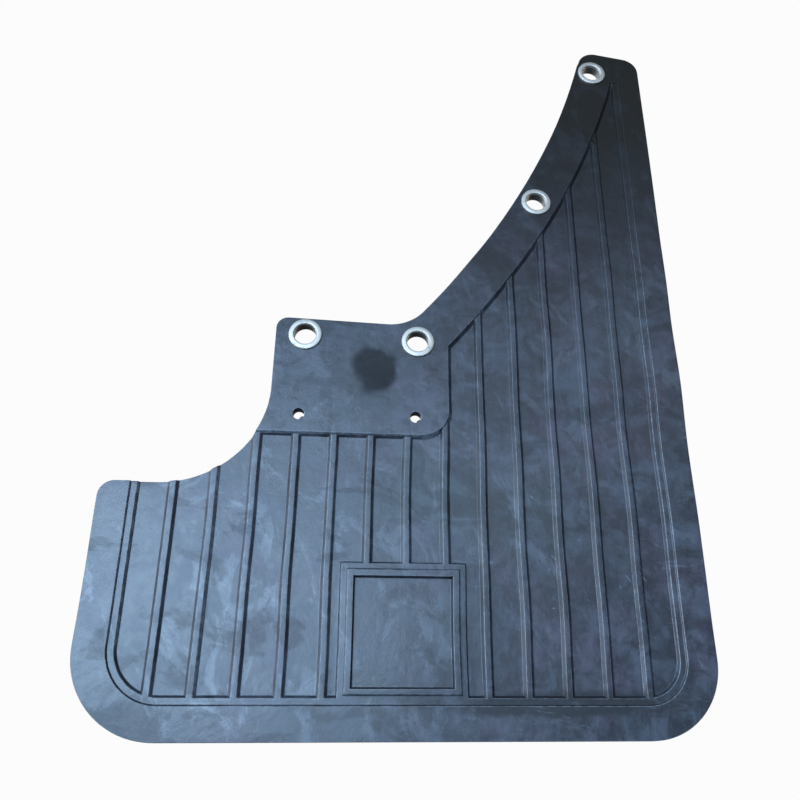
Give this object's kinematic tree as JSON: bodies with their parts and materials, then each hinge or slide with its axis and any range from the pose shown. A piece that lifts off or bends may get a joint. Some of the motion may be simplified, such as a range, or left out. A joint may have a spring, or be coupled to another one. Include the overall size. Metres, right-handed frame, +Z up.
{
  "type": "mud flap",
  "caption": "Moulded rubber mud flap with a ribbed skirt, a blank panel, a fixing pad and a curved strap rising to a tip, held through set metal eyelets.",
  "frame": {"origin": "middle of the fixing pad, on the flap's plain back face", "axes": "hanging as fitted behind a wheel: +Z up, the ribbed face looks along -Y, and the tip is on the +X side"},
  "size_m": [0.312, 0.0082, 0.4308],
  "materials": {
    "rubber": "moulded black rubber with a blue-grey bloom and release marks",
    "eyelet_metal": "bright nickel plate, lightly handled",
    "washer_metal": "bright nickel plate"
  },
  "bodies": {
    "hanger": {"upper_panel": "rubber", "pad_eyelet_left": "eyelet_metal", "pad_eyelet_left_washer": "washer_metal", "pad_eyelet_right": "eyelet_metal", "pad_eyelet_right_washer": "washer_metal", "strap_eyelet": "eyelet_metal", "strap_eyelet_washer": "washer_metal", "tip_eyelet": "eyelet_metal", "tip_eyelet_washer": "washer_metal"},
    "skirt": {"skirt": "rubber"}
  },
  "joints": [
    {"name": "skirt_flex", "type": "hinge", "parent": "hanger", "child": "skirt", "pos_m": [0.0625, -0.002, -0.0385], "axis": [1, 0, 0], "range_deg": [-45, 30], "stiffness_Nm_per_rad": 0.15}
  ]
}
